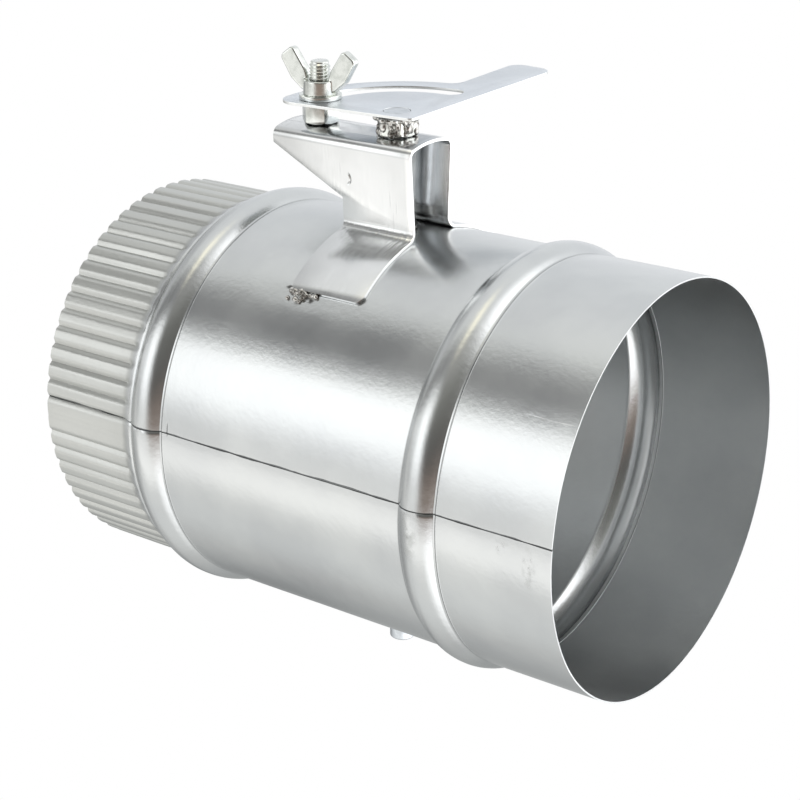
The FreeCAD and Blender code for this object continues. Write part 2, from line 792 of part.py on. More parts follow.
def make_bolt():
    body = body_at("clamp_bolt", BOLT_X, z=f"{HEAD_SEAT} - sizes.bolt_head_height",
                   turn=cell("nut_turn"))
    head = sketch_on(body, "XY_Plane")
    hexagon(head, cell("nut_flats"))
    pad(body, head, cell("bolt_head_height"))
    chamfer_corners(body, cell("nut_flats"), cell("bolt_head_height"), both_ends=False)
    end = "(sizes.bolt_head_height + sizes.bolt_length)"
    shank = sketch_on(body, "XZ_Plane")
    outline(shank, [
        ("0", cell("bolt_head_height")),
        (cell("bolt_radius"), cell("bolt_head_height")),
        (cell("bolt_radius"), f"{end} - sizes.bolt_end_chamfer"),
        ("sizes.bolt_radius - sizes.bolt_end_chamfer", end),
        ("0", end),
    ])
    turn_round(body, shank)
    return body


def make_washer():
    return turned_part("clamp_washer", [
        (BOLT_BORE, "0"),
        (cell("washer_radius"), "0"),
        (cell("washer_radius"), cell("washer_thickness")),
        (BOLT_BORE, cell("washer_thickness")),
    ], x=BOLT_X, z=WASHER_UNDER)


def make_wing_nut():
    body = body_at("wing_nut", BOLT_X, z=WING_UNDER, turn=cell("wing_turn"))
    collar = sketch_on(body, "XZ_Plane")
    outline(collar, [
        ("0", "0"),
        (cell("collar_radius"), "0"),
        (cell("collar_top_radius"), cell("collar_rise")),
        ("0", cell("collar_rise")),
    ])
    turn_round(body, collar)
    half_span = "(sizes.wing_span / 2)"
    for side in ("", "0 - "):
        wing = sketch_on(body, "XZ_Plane")
        outline(wing, [
            (f"{side}(sizes.collar_radius - 2)", "0.5"),
            (f"{side}(sizes.collar_radius + 1)", "0.9"),
            (f"{side}({half_span} - sizes.wing_slant)", "sizes.wing_shoulder"),
            (f"{side}{half_span}", "sizes.wing_rise - sizes.wing_tip_drop"),
            (f"{side}({half_span} - sizes.wing_top_width)", cell("wing_rise")),
            (f"{side}(sizes.bolt_radius + sizes.wing_root_gap)", cell("wing_root_rise")),
        ])
        pad(body, wing, cell("wing_thickness"), both_ways=True)
    bore = sketch_on(body, "XY_Plane")
    circle(bore, "0", "0", BOLT_BORE)
    pocket(body, bore, "4 * sizes.wing_rise")

    def wing_tip(middle, edge):
        across = abs(edge.tangentAt(edge.FirstParameter).y) > 0.99
        return across and middle.z > size("wing_shoulder") + 1

    fillet(body, wing_tip, "sizes.wing_corner")
    return body


def check(objects):
    """Stop on any object that failed to build, or has no sound solid."""
    for item in doc.Objects:
        if "Invalid" in item.State or "Error" in item.State:
            raise RuntimeError(f"{item.Label} failed: {item.State}")
    for item in objects:
        shape = item.Shape
        if shape.isNull() or not shape.isValid() or not shape.Solids:
            raise RuntimeError(f"{item.Label} is not a sound solid")
        print(f"{item.Label}: {len(shape.Solids)} solid, {shape.Volume:.1f} mm3, {shape.BoundBox}")


def main():
    nodes = [make_sleeve(), make_bracket()]
    nodes += [make_tack_weld("tack_weld_near", -1), make_tack_weld("tack_weld_far", 1)]
    nodes += [make_shaft(), make_bush("upper_bush", "+"), make_bush("lower_bush", "-")]
    nodes += [make_blade(), make_strap("upper_strap", "+"), make_strap("lower_strap", "-")]
    for index, (across, height) in enumerate(rivet_places(), start=1):
        nodes.append(make_rivet(f"strap_rivet_{index}", across, height))
    nodes.append(make_lever())
    nodes.append(make_nut("shaft_nut", SHAFT_X, cell("shaft_nut_flats"),
                          "sizes.shaft_radius + sizes.slide_gap",
                          "sizes.bracket_height + sizes.slide_gap", cell("nut_height"), cell("nut_turn")))
    nodes.append(make_pivot_weld())
    nodes.append(make_bolt())
    nodes.append(make_nut("lock_nut", BOLT_X, cell("nut_flats"), BOLT_BORE, BRACKET_TOP,
                          cell("nut_height"), cell("nut_turn")))
    nodes += [make_washer(), make_wing_nut()]
    doc.recompute()
    check(nodes)
    os.makedirs("parts", exist_ok=True)
    for node in nodes:
        node.Shape.exportStep(f"parts/{node.Label}.step")


main()
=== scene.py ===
"""Looks of the manual duct damper: galvanised sheet, zinc-plated hardware, bare weld.

Everything is in metres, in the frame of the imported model: +X out of the plain end, +Z up the
shaft. The rolled sleeve, the wing nut, the bolt and the welds are modelled here; the other
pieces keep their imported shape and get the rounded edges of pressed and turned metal.
"""

import math
import random

import bpy
from mathutils import Matrix, Vector, noise


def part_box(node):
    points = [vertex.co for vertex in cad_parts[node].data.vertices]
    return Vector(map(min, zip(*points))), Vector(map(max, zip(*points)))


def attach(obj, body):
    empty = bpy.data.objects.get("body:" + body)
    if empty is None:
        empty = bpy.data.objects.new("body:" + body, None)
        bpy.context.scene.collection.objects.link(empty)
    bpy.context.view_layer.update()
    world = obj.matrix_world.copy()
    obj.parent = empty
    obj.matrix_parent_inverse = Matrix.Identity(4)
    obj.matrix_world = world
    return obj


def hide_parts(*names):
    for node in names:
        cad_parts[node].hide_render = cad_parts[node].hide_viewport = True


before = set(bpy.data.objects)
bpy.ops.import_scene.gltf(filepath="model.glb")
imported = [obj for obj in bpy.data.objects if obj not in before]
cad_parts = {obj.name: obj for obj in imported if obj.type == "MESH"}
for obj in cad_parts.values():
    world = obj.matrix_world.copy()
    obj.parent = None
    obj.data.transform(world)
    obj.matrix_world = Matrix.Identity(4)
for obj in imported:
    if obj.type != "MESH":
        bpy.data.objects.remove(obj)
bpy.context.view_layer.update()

MM = 0.001

# Sizes read from the frame.
SLEEVE_LOW, SLEEVE_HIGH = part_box("duct_sleeve")
SHAFT_LOW, SHAFT_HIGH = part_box("damper_shaft")
BOLT_LOW, BOLT_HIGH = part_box("clamp_bolt")
WELD_LOW, WELD_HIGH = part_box("tack_weld_near")
WING_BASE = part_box("wing_nut")[0].z
LEVER_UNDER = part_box("quadrant_lever")[0].z
LENGTH = SLEEVE_HIGH.x - SLEEVE_LOW.x
SHAFT_X = (SHAFT_LOW.x + SHAFT_HIGH.x) / 2
BOLT_X = (BOLT_LOW.x + BOLT_HIGH.x) / 2
LEG_EDGE = SHAFT_X + 15.3 * MM
WELD_SPOT = Vector(((WELD_LOW.x + WELD_HIGH.x) / 2, WELD_HIGH.y - 2 * MM, WELD_LOW.z))

# The sleeve: its sheet, collar, beads, crimps and seam (SEAM_TURN in degrees from the top to -Y).
SHEET = 0.55 * MM
OUTER = 76.75 * MM
COLLAR = 46.5 * MM
BEAD_WIDTH = 15.4 * MM
BEAD_RISE = 3.3 * MM
BEAD_FOOT = 1.2 * MM
SHARP_FOOT = 0.45 * MM
CRIMP = 45.6 * MM
CRIMP_EDGE = -LENGTH + CRIMP
CRIMP_COUNT = 66
CRIMP_CREST = 75.2 * MM
CRIMP_DEPTH = 1.2 * MM
CRIMP_RUNOUT = 6 * MM
FLARE_WIDTH = 8 * MM
STEPS_PER_CRIMP = 10
SEAM_TURN = 84.27
SEAM_ARC = math.radians(SEAM_TURN) * OUTER

# The bolt and the wing nut on it.
BOLT_RADIUS = 4 * MM
HEAD_HEIGHT = 5.2 * MM
HEAD_CORNER_RADIUS = 7.33 * MM
HEAD_TURN = math.radians(108.7)
THREAD_PITCH = 1.25 * MM
THREAD_DEPTH = 0.62 * MM
WING_TURN = math.radians(7)
WING_THICKNESS = 3.9 * MM
COLLAR_RISE = 5.4 * MM

# Where the bracket's legs bend into its feet.
FOOT_BEND_LOW = 76.2 * MM
FOOT_BEND_HIGH = 77.8 * MM

# The welds: reach of the drops from the shaft, and the turn of a foot's edge in degrees.
WELD_RING_REACH = (6.6, 7.6)
WELD_RUN_REACH = (6.2, 7.0)
WELD_LAYER = 1.9
FOOT_TURN = 36.6


# Modelling helpers

def only(obj):
    """Make obj the one selected and active object."""
    bpy.ops.object.select_all(action="DESELECT")
    obj.select_set(True)
    bpy.context.view_layer.objects.active = obj
    return obj


def smooth(obj, degrees=30):
    """Smooth shading, with edges sharper than these degrees kept crisp."""
    only(obj)
    bpy.ops.object.shade_smooth_by_angle(angle=math.radians(degrees))
    return obj


def applied(obj, kind, **settings):
    """Add a modifier with these settings and apply it."""
    only(obj)
    modifier = obj.modifiers.new(kind.title(), kind)
    for key, setting in settings.items():
        setattr(modifier, key, setting)
    bpy.ops.object.modifier_apply(modifier=modifier.name)
    return obj


def settled(obj):
    """Move the object's place, turn and size into its mesh."""
    only(obj)
    bpy.ops.object.transform_apply(location=True, rotation=True, scale=True)
    return obj


def joined(name, pieces):
    """Join pieces into one object at the origin."""
    only(pieces[0])
    for piece in pieces[1:]:
        piece.select_set(True)
    bpy.ops.object.join()
    obj = settled(bpy.context.active_object)
    obj.name = obj.data.name = name
    return obj


def chain(name, points, closed=False):
    """A line of vertices through points, extruded one from the next; closed makes it a face."""
    bpy.ops.object.select_all(action="DESELECT")
    bpy.ops.mesh.primitive_plane_add(size=MM, location=(0, 0, 0))
    obj = bpy.context.active_object
    obj.name = obj.data.name = name
    bpy.ops.object.mode_set(mode="EDIT")
    bpy.ops.mesh.select_all(action="SELECT")
    bpy.ops.mesh.merge(type="CENTER")
    bpy.ops.transform.translate(value=points[0])
    for start, end in zip(points, points[1:]):
        step = Vector(end) - Vector(start)
        bpy.ops.mesh.extrude_region_move(TRANSFORM_OT_translate={"value": step})
    if closed:
        bpy.ops.mesh.select_all(action="SELECT")
        bpy.ops.mesh.edge_face_add()
    bpy.ops.object.mode_set(mode="OBJECT")
    return obj


def rounded_copy(node, name, edge=0.12 * MM, steps=2, sharp=30):
    """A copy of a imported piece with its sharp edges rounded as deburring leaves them."""
    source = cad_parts[node]
    obj = bpy.data.objects.new(name, source.data.copy())
    bpy.context.scene.collection.objects.link(obj)
    obj.data.materials.clear()
    only(obj)
    bpy.ops.object.mode_set(mode="EDIT")
    bpy.ops.mesh.select_all(action="SELECT")
    bpy.ops.mesh.remove_doubles(threshold=1e-6)
    bpy.ops.mesh.dissolve_limited(angle_limit=math.radians(0.5))
    bpy.ops.object.mode_set(mode="OBJECT")
    applied(obj, "BEVEL", width=edge, segments=steps, limit_method="ANGLE",
            angle_limit=math.radians(sharp))
    return smooth(obj, sharp)


def finish_piece(obj, body, slot, material, *nodes):
    """Give a piece its material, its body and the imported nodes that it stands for."""
    obj.data.materials.clear()
    obj.data.materials.append(material)
    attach(obj, body)
    if nodes:
        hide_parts(*nodes)
    return obj


def ease(share):
    """0 to 1 with a soft start and a soft end."""
    share = min(max(share, 0.0), 1.0)
    return share * share * (3 - 2 * share)


# Material helpers

def colour(hex_code, alpha=1.0):
    """A linear colour from an sRGB hex code."""
    channels = [int(hex_code[i:i + 2], 16) / 255 for i in (1, 3, 5)]
    linear = [c / 12.92 if c <= 0.04045 else ((c + 0.055) / 1.055) ** 2.4 for c in channels]
    return (*linear, alpha)


def node(tree, kind, settings=None, **links):
    """Add one node: settings are its properties or input values, links join its inputs."""
    added = tree.nodes.new(kind)
    for key, setting in (settings or {}).items():
        if isinstance(key, int) or key in added.inputs:
            added.inputs[key].default_value = setting
        else:
            setattr(added, key, setting)
    for key, source in links.items():
        by_index = key[0] == "i" and key[1:].isdigit()
        socket = added.inputs[int(key[1:]) if by_index else key.replace("_", " ")]
        tree.links.new(source, socket)
    return added


def new_material(name):
    """A new material, with its node tree, its shader and the object's coordinates."""
    material = bpy.data.materials.new(name)
    material.use_nodes = True
    tree = material.node_tree
    place = node(tree, "ShaderNodeTexCoord").outputs["Object"]
    return material, tree, tree.nodes["Principled BSDF"], place


def ramp(tree, source, stops):
    """A colour ramp from (position, shade) stops; a shade is a hex colour, a grey or a triple."""
    added = node(tree, "ShaderNodeValToRGB", i0=source)
    elements = added.color_ramp.elements
    while len(elements) < len(stops):
        elements.new(0.5)
    for element, (position, shade) in zip(elements, stops):
        element.position = position
        if isinstance(shade, str):
            element.color = colour(shade)
        elif isinstance(shade, tuple):
            element.color = (*shade, 1)
        else:
            element.color = (shade, shade, shade, 1)
    return added.outputs["Color"]


def grain(tree, place, width, detail=3.0, roughness=0.5, stretch=None):
    """Soft noise whose lumps are about width metres across; stretch scales the place first."""
    if stretch:
        place = node(tree, "ShaderNodeVectorMath", {"operation": "MULTIPLY", 1: stretch},
                     i0=place).outputs["Vector"]
    settings = {"Scale": 0.5 / width, "Detail": detail, "Roughness": roughness}
    return node(tree, "ShaderNodeTexNoise", settings, Vector=place).outputs["Fac"]


def spread(tree, source, low, high, to_low=0.0, to_high=1.0):
    """Map low to high of a value onto another range, and hold it at the ends."""
    return node(tree, "ShaderNodeMapRange", {"From Min": low, "From Max": high,
                                             "To Min": to_low, "To Max": to_high},
                Value=source).outputs["Result"]


def maths(tree, operation, first, second, third=None):
    """One sum of values or sockets."""
    settings, links = {"operation": operation}, {}
    for index, item in enumerate((first, second, third)):
        if isinstance(item, (int, float)):
            settings[index] = item
        elif item is not None:
            links[f"i{index}"] = item
    return node(tree, "ShaderNodeMath", settings, **links).outputs["Value"]


def blend_colours(tree, share, first, second):
    """Colour first where share is 0 and second where it is 1."""
    settings, links = {}, {"i0": share}
    for index, item in ((1, first), (2, second)):
        if isinstance(item, str):
            settings[index] = colour(item)
        else:
            links[f"i{index}"] = item
    return node(tree, "ShaderNodeMixRGB", settings, **links).outputs["Color"]


def relief(tree, height, depth, under=None):
    """A bump of this depth in metres, laid over an earlier one."""
    links = {"Height": height}
    if under is not None:
        links["Normal"] = under
    return node(tree, "ShaderNodeBump", {"Strength": 1.0, "Distance": depth}, **links).outputs["Normal"]


def unrolled(tree, place):
    """The duct's surface laid flat: metres along +X, then metres from the top towards -Y."""
    axes = node(tree, "ShaderNodeSeparateXYZ", Vector=place)
    across = maths(tree, "MULTIPLY", axes.outputs["Y"], -1.0)
    turn = maths(tree, "ARCTAN2", across, axes.outputs["Z"])
    arc = maths(tree, "MULTIPLY", turn, OUTER)
    return node(tree, "ShaderNodeCombineXYZ", X=axes.outputs["X"], Y=arc).outputs["Vector"]


def mark(tree, flat, centre, size, turn=0.0, edge=1.0):
    """A mark on a flat layout: 1 inside an ellipse of this size in metres, fading at its rim."""
    local = node(tree, "ShaderNodeMapping", {
        "vector_type": "TEXTURE", "Location": (*centre, 0), "Rotation": (0, 0, turn),
        "Scale": (size[0] / 2, size[1] / 2, 1)}, Vector=flat).outputs["Vector"]
    reach = node(tree, "ShaderNodeVectorMath", {"operation": "LENGTH"}, i0=local).outputs["Value"]
    return spread(tree, reach, 1.0, 1.0 - edge)


def marks(tree, flat, spots, edge=1.0):
    """Several marks as one, from their centres and sizes: the strongest at each place."""
    whole = None
    for centre, size in spots:
        one = mark(tree, flat, centre, size, edge=edge)
        whole = one if whole is None else maths(tree, "MAXIMUM", whole, one)
    return whole


# Finishes

def galvanised_sheet():
    """Hot-dip galvanised duct sheet with a minimised spangle.

    Zinc froze on it as crystals too small to see one by one, and skin-pass rolls then pressed
    them flat: a bright satin sheet with a fine grain, dull greenish stains by the seam and dark
    heat specks by the tack weld.
    """
    material, tree, shader, place = new_material("galvanised_sheet_minimised_spangle")
    flat = unrolled(tree, place)
    cloud = grain(tree, place, 16 * MM, 4.0, 0.55)
    fine = grain(tree, place, 1.0 * MM, 3.0, 0.6)
    base = ramp(tree, cloud, [(0.35, "#cfd1d2"), (0.65, "#d9dbdb")])
    axes = node(tree, "ShaderNodeSeparateXYZ", Vector=place)
    section = node(tree, "ShaderNodeCombineXYZ", Y=axes.outputs["Y"], Z=axes.outputs["Z"]).outputs["Vector"]
    reach = node(tree, "ShaderNodeVectorMath", {"operation": "LENGTH"}, i0=section).outputs["Value"]

    # The crimping rolls left the far end frosty and warmer.
    crimped = spread(tree, axes.outputs["X"], CRIMP_EDGE - 2 * MM, CRIMP_EDGE - 5 * MM)
    base = blend_colours(tree, crimped, base, "#cfd0cd")

    # Stains that ran down from the seam, on the bead and on the collar.
    blotch = grain(tree, place, 3.5 * MM, 5.0, 0.7)
    stains = marks(tree, flat, [
        ((-0.0552, 0.1210), (0.008, 0.022)), ((-0.0085, 0.1220), (0.006, 0.018)),
        ((-0.0200, 0.1175), (0.012, 0.006))])
    stained = maths(tree, "MULTIPLY", stains, spread(tree, blotch, 0.48, 0.62))
    base = blend_colours(tree, maths(tree, "MULTIPLY", stained, 0.42), base, "#7c7e76")

    # Specks of scale round the tack weld.
    specks = marks(tree, flat, [
        ((-0.1290, 0.0485), (0.0045, 0.0036)), ((-0.1262, 0.0520), (0.0036, 0.0050)),
        ((-0.1215, 0.0512), (0.0040, 0.0034)), ((-0.1330, 0.0476), (0.0040, 0.0022))], edge=0.6)
    crumbs = spread(tree, grain(tree, place, 1.1 * MM, 4.0), 0.42, 0.56)
    scale = maths(tree, "MULTIPLY", specks, crumbs)
    base = blend_colours(tree, maths(tree, "MULTIPLY", scale, 0.85), base, "#4b4a48")

    # A scratch by the rim, a nick by the crimped end's bead and a chip on the collar's bead.
    scratch = mark(tree, flat, (-0.0101, 0.0719), (0.019, 0.00045), edge=0.5)
    nick = mark(tree, flat, (-0.1677, 0.1115), (0.0005, 0.0055), edge=0.5)
    chip = mark(tree, flat, (-0.0598, 0.0290), (0.0028, 0.0062), -0.3, edge=0.5)
    dark = maths(tree, "MAXIMUM", nick, maths(tree, "MULTIPLY", chip, spread(tree, fine, 0.4, 0.5)))
    base = blend_colours(tree, maths(tree, "MULTIPLY", dark, 0.75), base, "#56595c")

    # Painted shade: a dark line in the lapped seam's gap. At each bead's foot the crease that the beading
    # rolls left: a groove in the bump, darkened with painted shade.
    arc = node(tree, "ShaderNodeSeparateXYZ", Vector=flat).outputs["Y"]
    wobble = spread(tree, grain(tree, place, 12 * MM, 3.0), 0.3, 0.7, -0.25 * MM, 0.25 * MM)
    seam_line = maths(tree, "ADD", wobble, SEAM_ARC)
    from_seam = maths(tree, "ABSOLUTE", maths(tree, "SUBTRACT", arc, seam_line), 0.0)
    seam_width = spread(tree, grain(tree, place, 5 * MM, 3.0), 0.35, 0.65, 0.22 * MM, 0.55 * MM)
    painted_seam_shade = maths(tree, "LESS_THAN", maths(tree, "DIVIDE", from_seam, seam_width), 1.0)
    outside = maths(tree, "GREATER_THAN", reach, CRIMP_CREST - CRIMP_DEPTH - 0.2 * MM)
    painted_seam_shade = maths(tree, "MULTIPLY", painted_seam_shade, outside)
    # Painted shade: the seam's gap darkened to a dark line.
    base = blend_colours(tree, maths(tree, "MULTIPLY", painted_seam_shade, 0.8), base, "#4d5051")
    crease_groove_and_shade = None
    for foot in (-COLLAR, CRIMP_EDGE + BEAD_WIDTH):
        away = maths(tree, "ABSOLUTE", maths(tree, "SUBTRACT", axes.outputs["X"], foot + 0.55 * MM), 0.0)
        one = spread(tree, away, 0.30 * MM, 0.12 * MM)
        crease_groove_and_shade = one if crease_groove_and_shade is None else maths(tree, "MAXIMUM", crease_groove_and_shade, one)
    # Painted shade in the creases at the beads' feet; the same mask makes their groove in the bump.
    base = blend_colours(tree, maths(tree, "MULTIPLY", crease_groove_and_shade, 0.55), base, "#6b6d6c")
    tree.links.new(base, shader.inputs["Base Color"])

    dull = spread(tree, cloud, 0.3, 0.7, 0.21, 0.27)
    dull = maths(tree, "ADD", dull, maths(tree, "MULTIPLY", crimped, 0.03))
    inside = maths(tree, "LESS_THAN", reach, OUTER - SHEET / 2)
    dull = maths(tree, "ADD", dull, maths(tree, "MULTIPLY", inside, 0.12))
    dull = maths(tree, "ADD", dull, maths(tree, "MULTIPLY", maths(tree, "MAXIMUM", stained, scale), 0.25))
    tree.links.new(dull, shader.inputs["Roughness"])
    bumps = relief(tree, grain(tree, place, 7 * MM, 2.0), 0.00007)
    bumps = relief(tree, fine, 0.00005, bumps)
    frost = maths(tree, "MULTIPLY", grain(tree, place, 0.8 * MM, 3.0, 0.6), crimped)
    bumps = relief(tree, frost, 0.00009, bumps)
    bumps = relief(tree, scratch, 0.00012, bumps)
    bumps = relief(tree, crease_groove_and_shade, 0.0003, bumps)
    bumps = relief(tree, maths(tree, "SUBTRACT", 1.0, dark), 0.0002, bumps)
    tree.links.new(bumps, shader.inputs["Normal"])
    shader.inputs["Metallic"].default_value = 1.0
    return material


def bright_strip():
    """Bright galvanised strip folded in a press brake.

    The flats are glossy with fine upright scratches; the dies left short ribs along the bends at
    the foot and a crescent dent in the near leg.
    """
    material, tree, shader, place = new_material("galvanised_strip_folded_bright")
    axes = node(tree, "ShaderNodeSeparateXYZ", Vector=place)
    upright = grain(tree, place, 0.35 * MM, 3.0, 0.6, stretch=(1.0, 0.06, 0.06))
    cloud = grain(tree, place, 9 * MM, 3.0)
    base = ramp(tree, cloud, [(0.35, "#e2e3e3"), (0.65, "#eaebeb")])
    # Painted highlight: a near-white band on the leg's face along its cut edge, above the sheet.
    edge = spread(tree, axes.outputs["X"], LEG_EDGE - 2.8 * MM, LEG_EDGE - 1.6 * MM)
    edge = maths(tree, "MULTIPLY", edge, maths(tree, "GREATER_THAN", axes.outputs["Z"], OUTER))
    base = blend_colours(tree, edge, base, "#fbfbfa")
    side = node(tree, "ShaderNodeCombineXYZ", X=axes.outputs["X"], Y=axes.outputs["Z"]).outputs["Vector"]
    near = maths(tree, "LESS_THAN", axes.outputs["Y"], 0.0)
    scratches = marks(tree, side, [
        ((-0.1110, 0.0810), (0.0003, 0.012)), ((-0.1136, 0.0790), (0.00025, 0.007)),
        ((-0.1122, 0.0905), (0.00025, 0.008)), ((-0.1345, 0.0990), (0.00025, 0.005)),
        ((-0.1095, 0.0880), (0.00025, 0.006))], edge=0.5)
    scratches = maths(tree, "MULTIPLY", scratches, near)
    base = blend_colours(tree, maths(tree, "MULTIPLY", scratches, 0.3), base, "#8b8d8e")
    tree.links.new(base, shader.inputs["Base Color"])
    tree.links.new(spread(tree, upright, 0.35, 0.7, 0.14, 0.26), shader.inputs["Roughness"])

    # The ribs lie where the foot bends, just above the sheet.
    bend = maths(tree, "MULTIPLY", spread(tree, axes.outputs["Z"], FOOT_BEND_LOW - 1.7 * MM, FOOT_BEND_LOW),
                 spread(tree, axes.outputs["Z"], FOOT_BEND_HIGH + 1.4 * MM, FOOT_BEND_HIGH))
    ribs = maths(tree, "MULTIPLY", grain(tree, place, 0.5 * MM, 2.0, 0.5, stretch=(1.0, 0.1, 0.1)), bend)

    # The crescent: a thin ring seen in the leg's own plane, cut to its left half.
    outer = mark(tree, side, (-0.1312, 0.0955), (0.0034, 0.0050), edge=0.25)
    inner = mark(tree, side, (-0.1318, 0.0957), (0.0034, 0.0050), edge=0.25)
    crescent = maths(tree, "MULTIPLY", maths(tree, "SUBTRACT", outer, inner), near)
    crescent = maths(tree, "MAXIMUM", crescent, 0.0)

    bumps = relief(tree, upright, 0.000012)
    bumps = relief(tree, grain(tree, place, 9 * MM, 2.0), 0.00006, bumps)
    bumps = relief(tree, ribs, 0.00035, bumps)
    bumps = relief(tree, maths(tree, "SUBTRACT", 1.0, crescent), 0.0003, bumps)
    tree.links.new(bumps, shader.inputs["Normal"])
    shader.inputs["Metallic"].default_value = 1.0
    return material


def satin_stamping():
    """Galvanised stamping: flat satin faces with a faint blue cast, and sheared edges lit with a painted
    highlight.
    """
    material, tree, shader, place = new_material("galvanised_stamping_satin")
    cloud = grain(tree, place, 8 * MM, 4.0)
    fine = grain(tree, place, 0.7 * MM, 3.0)
    facing = node(tree, "ShaderNodeNewGeometry").outputs["Normal"]
    tilt = maths(tree, "ABSOLUTE", node(tree, "ShaderNodeSeparateXYZ", Vector=facing).outputs["Z"], 0.0)
    base = ramp(tree, cloud, [(0.35, "#dde2e8"), (0.65, "#e6eaef")])
    # Painted highlight: faces that turn sideways, the sheared edges and their rounding, are made paler.
    base = blend_colours(tree, spread(tree, tilt, 0.8, 0.5), base, "#f2f3f2")
    tree.links.new(base, shader.inputs["Base Color"])
    tree.links.new(spread(tree, fine, 0.3, 0.7, 0.30, 0.40), shader.inputs["Roughness"])
    bumps = relief(tree, cloud, 0.00008)
    bumps = relief(tree, fine, 0.00002, bumps)
    tree.links.new(bumps, shader.inputs["Normal"])
    shader.inputs["Metallic"].default_value = 1.0
    return material


def plated(name, base, dark, dull, lumps, depth):
    """Zinc-plated steel: lumps is the width of its unevenness and depth its relief, in metres."""
    material, tree, shader, place = new_material(name)
    wear = grain(tree, place, lumps, 5.0, 0.6)
    tree.links.new(ramp(tree, wear, [(0.38, dark), (0.58, base)]), shader.inputs["Base Color"])
    tree.links.new(spread(tree, wear, 0.3, 0.7, dull + 0.1, dull), shader.inputs["Roughness"])
    tree.links.new(relief(tree, wear, depth), shader.inputs["Normal"])
    shader.inputs["Metallic"].default_value = 1.0
    return material


SHEET_ZINC = galvanised_sheet()
STRIP_ZINC = bright_strip()
LEVER_ZINC = satin_stamping()
# Bright zinc plating on the nuts, bolt, washer and wing nut, barrel-plated and left clear.
PLATING = plated("bright_zinc_plating", "#eceeea", "#d2d5d0", 0.13, 2.2 * MM, 0.00006)
# Zinc-plated round bar of the shaft, dulled by handling.
BAR_STEEL = plated("zinc_plated_bar_dull", "#d9dee3", "#c6cbd0", 0.30, 3 * MM, 0.00004)
# Arc weld metal, brushed but not ground: bright lumps with dark slag in the hollows.
WELD_METAL = plated("arc_weld_brushed", "#dedcd8", "#6b6762", 0.16, 1.5 * MM, 0.00012)
# Turned steel bushes, plated and oiled.
BUSH_STEEL = plated("turned_bush_steel", "#a4a6a6", "#808282", 0.32, 2 * MM, 0.00003)


# Sleeve: its section is drawn as a chain of points and spun round the duct's axis.

def bead_points(centre_x, inset, steps=12):
    """Points over one bead, from its +X foot to its -X foot, for one face of the sheet."""
    crown = ((BEAD_WIDTH / 2) ** 2 + BEAD_RISE ** 2) / (2 * BEAD_RISE) - BEAD_FOOT
    centre_z = OUTER + BEAD_RISE - crown

    def foot_points(side, foot):
        """The foot's bend from the sheet up to the crown, and the crown's lean there."""
        reach = crown + foot
        half = math.sqrt(2 * reach * BEAD_RISE - BEAD_RISE ** 2)
        lean = math.asin(half / reach)
        bend = foot + inset
        run = [(centre_x + side * (half - bend * math.sin(lean * index / 4)),
                OUTER + foot - bend * math.cos(lean * index / 4)) for index in range(4)]
        return run, lean

    right, right_lean = foot_points(1, SHARP_FOOT)
    left, left_lean = foot_points(-1, BEAD_FOOT)
    points = right
    for index in range(steps + 1):
        angle = right_lean - (right_lean + left_lean) * index / steps
        points.append((centre_x + (crown - inset) * math.sin(angle),
                       centre_z + (crown - inset) * math.cos(angle)))
    return points + left[::-1]


def sheet_face(inset):
    """One face of the sheet from the plain rim to the crimped rim, as (x, radius) points."""
    z = OUTER - inset
    runout = -LENGTH + CRIMP

    def straight(start, end, count):
        return [(start + (end - start) * step / count, z) for step in range(count + 1)]

    points = straight(0.0, -COLLAR + FLARE_WIDTH, 5)
    points += straight(-COLLAR + FLARE_WIDTH, -COLLAR + 0.2 * MM, 3)[1:]
    points += bead_points(-COLLAR - BEAD_WIDTH / 2, inset)
    middle_start, middle_end = -COLLAR - BEAD_WIDTH, runout + BEAD_WIDTH
    points += straight(middle_start - 0.2 * MM, middle_start - FLARE_WIDTH, 2)
    points += straight(middle_start - FLARE_WIDTH, middle_end + FLARE_WIDTH, 7)[1:]
    points += straight(middle_end + FLARE_WIDTH, middle_end + 0.2 * MM, 2)[1:]
    points += bead_points(runout + BEAD_WIDTH / 2, inset)
    points += straight(runout, runout - CRIMP_RUNOUT, 6)
    points += straight(runout - CRIMP_RUNOUT, -LENGTH, 5)[1:]
    return points


def crimp_push(turn, x):
    """How far the crimping rolls move the sheet inward at turn degrees from the top."""
    along = ease((CRIMP_EDGE - x) / CRIMP_RUNOUT)
    phase = (turn * CRIMP_COUNT / 360) % 1.0 - 0.5
    valley = 0.5 + 0.5 * math.cos(math.pi * min(abs(phase) / 0.27, 1.0))
    crown = 0.5 * max(0.0, 0.75 - abs(phase) * 2) ** 2
    kept = 1 - 0.85 * ease(1 - abs(turn - SEAM_TURN - 5.5) / 7)
    return along * (OUTER - CRIMP_CREST + CRIMP_DEPTH * kept * (valley + crown) / 1.28)


def bead_flare(x):
    """How far the sheet dips inward close to a bead, in metres."""
    dip = 0.0
    for low, high in ((-COLLAR - BEAD_WIDTH, -COLLAR), (CRIMP_EDGE, CRIMP_EDGE + BEAD_WIDTH)):
        away = max(low - x, x - high, 0.0)
        if CRIMP_EDGE < x:
            dip = max(dip, 0.16 * MM * (1 - away / FLARE_WIDTH))
    return max(dip, 0.0)


def seam_push(offset):
    """The lapped edge stands proud above the seam and drops to a narrow groove below it."""
    if offset < 0:
        return -0.10 * MM * ease(1 + offset / 4)
    if offset < 0.1:
        return 0.42 * MM
    return 0.08 * MM * ease(1 - offset / 2.5)


